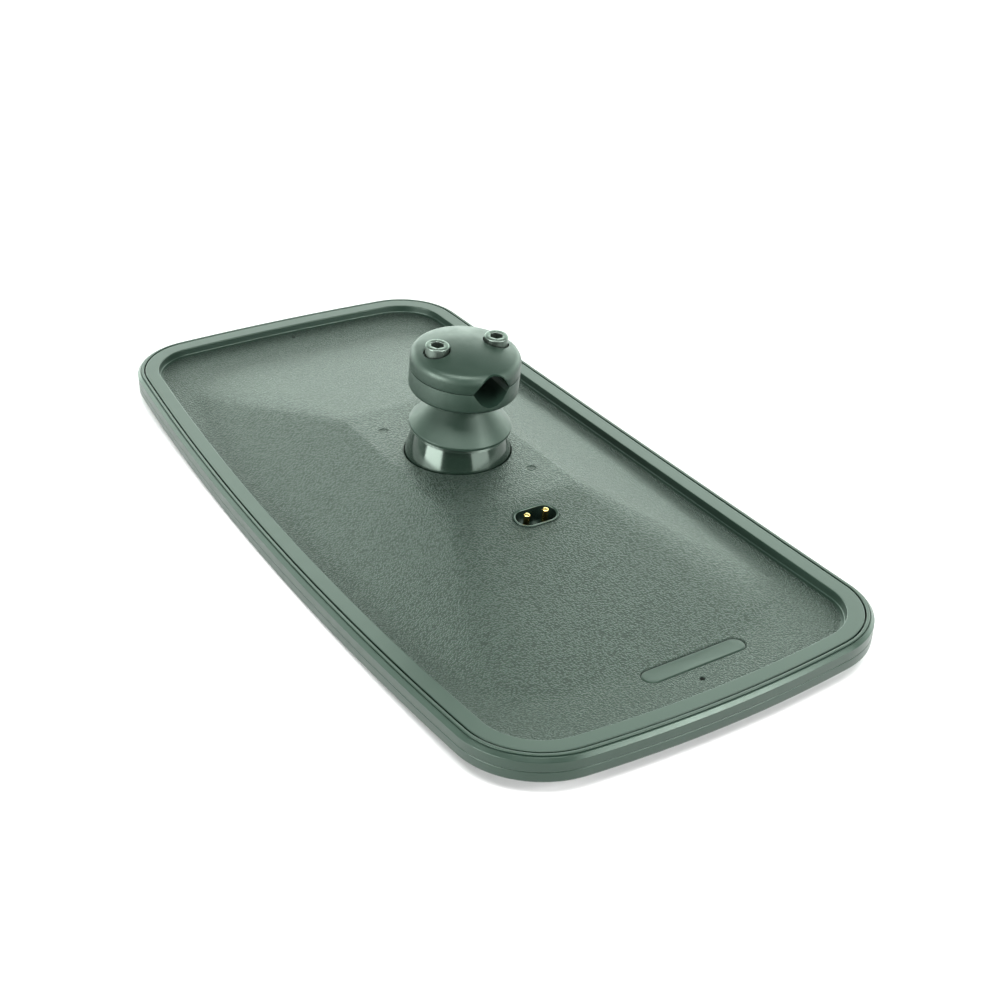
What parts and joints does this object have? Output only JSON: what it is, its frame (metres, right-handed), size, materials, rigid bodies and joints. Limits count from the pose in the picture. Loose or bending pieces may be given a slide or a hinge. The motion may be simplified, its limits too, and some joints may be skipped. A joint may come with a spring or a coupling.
{
  "type": "vehicle mirror head",
  "caption": "Rectangular convex heated vehicle mirror head with a grained back shell, ball joint and split clamp for a support arm.",
  "frame": {"origin": "under the middle of the head, level with the lowest part of the glass-side rim", "axes": "+X along the head's long side towards the heater socket, +Z out of the back of the head"},
  "size_m": [0.378, 0.1864, 0.0794],
  "materials": {
    "shell_plastic": "fine leather-like grain",
    "rim_plastic": "smooth satin",
    "mirror_coating": "polished",
    "seal_foam": "matte",
    "heater_film": "satin film",
    "tape_foam": "matte",
    "contact_brass": "bright",
    "lead_jacket": "satin",
    "zinc_steel": "zinc plated",
    "ball_gloss": "polished",
    "clamp_nylon": "smooth satin",
    "liner_plastic": "satin",
    "screw_coating": "grey zinc-flake coating"
  },
  "bodies": {
    "mirror_head": {"front_bezel": "rim_plastic", "edge_frame": "rim_plastic", "back_shell": "shell_plastic", "mirror_glass": "mirror_coating", "glass_seal": "seal_foam", "heater_foil": "heater_film", "foam_tape": "tape_foam", "foil_terminals": "contact_brass", "heater_leads": "lead_jacket", "connector_housing": "rim_plastic", "terminal_pins": "contact_brass", "reinforcement_plate": "zinc_steel", "plate_screws": "zinc_steel", "ball_dome": "ball_gloss"},
    "liner_ring": {"friction_liner": "liner_plastic"},
    "swivel_cup": {"cone_cup": "clamp_nylon"},
    "arm_clamp": {"clamp_base": "clamp_nylon", "pivot_stud": "zinc_steel", "pressure_cup": "zinc_steel", "disc_springs": "zinc_steel", "thrust_washer": "zinc_steel", "lock_nut": "zinc_steel"},
    "clamp_lid": {"clamp_cap": "clamp_nylon"},
    "screw_a": {"clamp_screw_a": "screw_coating"},
    "screw_b": {"clamp_screw_b": "screw_coating"}
  },
  "joints": [
    {"name": "tilt_long", "type": "hinge", "parent": "mirror_head", "child": "liner_ring", "pos_m": [0, 0.001, 0.0236], "axis": [0, 1, 0], "range_deg": [-21, 9]},
    {"name": "tilt_cross", "type": "hinge", "parent": "liner_ring", "child": "swivel_cup", "pos_m": [0, 0.001, 0.0236], "axis": [0.994, 0, -0.1097], "range_deg": [-13.5, 16.5]},
    {"name": "clamp_swivel", "type": "hinge", "parent": "swivel_cup", "child": "arm_clamp", "pos_m": [0, 0.001, 0.0236], "axis": [0.1097, 0.0156, 0.9938], "continuous": true},
    {"name": "lid_lift", "type": "slide", "parent": "arm_clamp", "child": "clamp_lid", "axis": [0.1097, 0.0156, 0.9938], "range_m": [0, 0.003]},
    {"name": "screw_a_turn", "type": "hinge", "parent": "clamp_lid", "child": "screw_a", "pos_m": [0.00691, 0.01526, 0.07524], "axis": [0.1097, 0.0156, 0.9938], "range_deg": [0, 1080]},
    {"name": "screw_b_turn", "type": "hinge", "parent": "clamp_lid", "child": "screw_b", "pos_m": [0.00457, -0.01163, 0.07592], "axis": [0.1097, 0.0156, 0.9938], "range_deg": [0, 1080]}
  ],
  "couplings": [
    {"joint": "screw_a_turn", "follows": "lid_lift", "rad_per_m": 6283},
    {"joint": "screw_b_turn", "follows": "lid_lift", "rad_per_m": 6283}
  ]
}
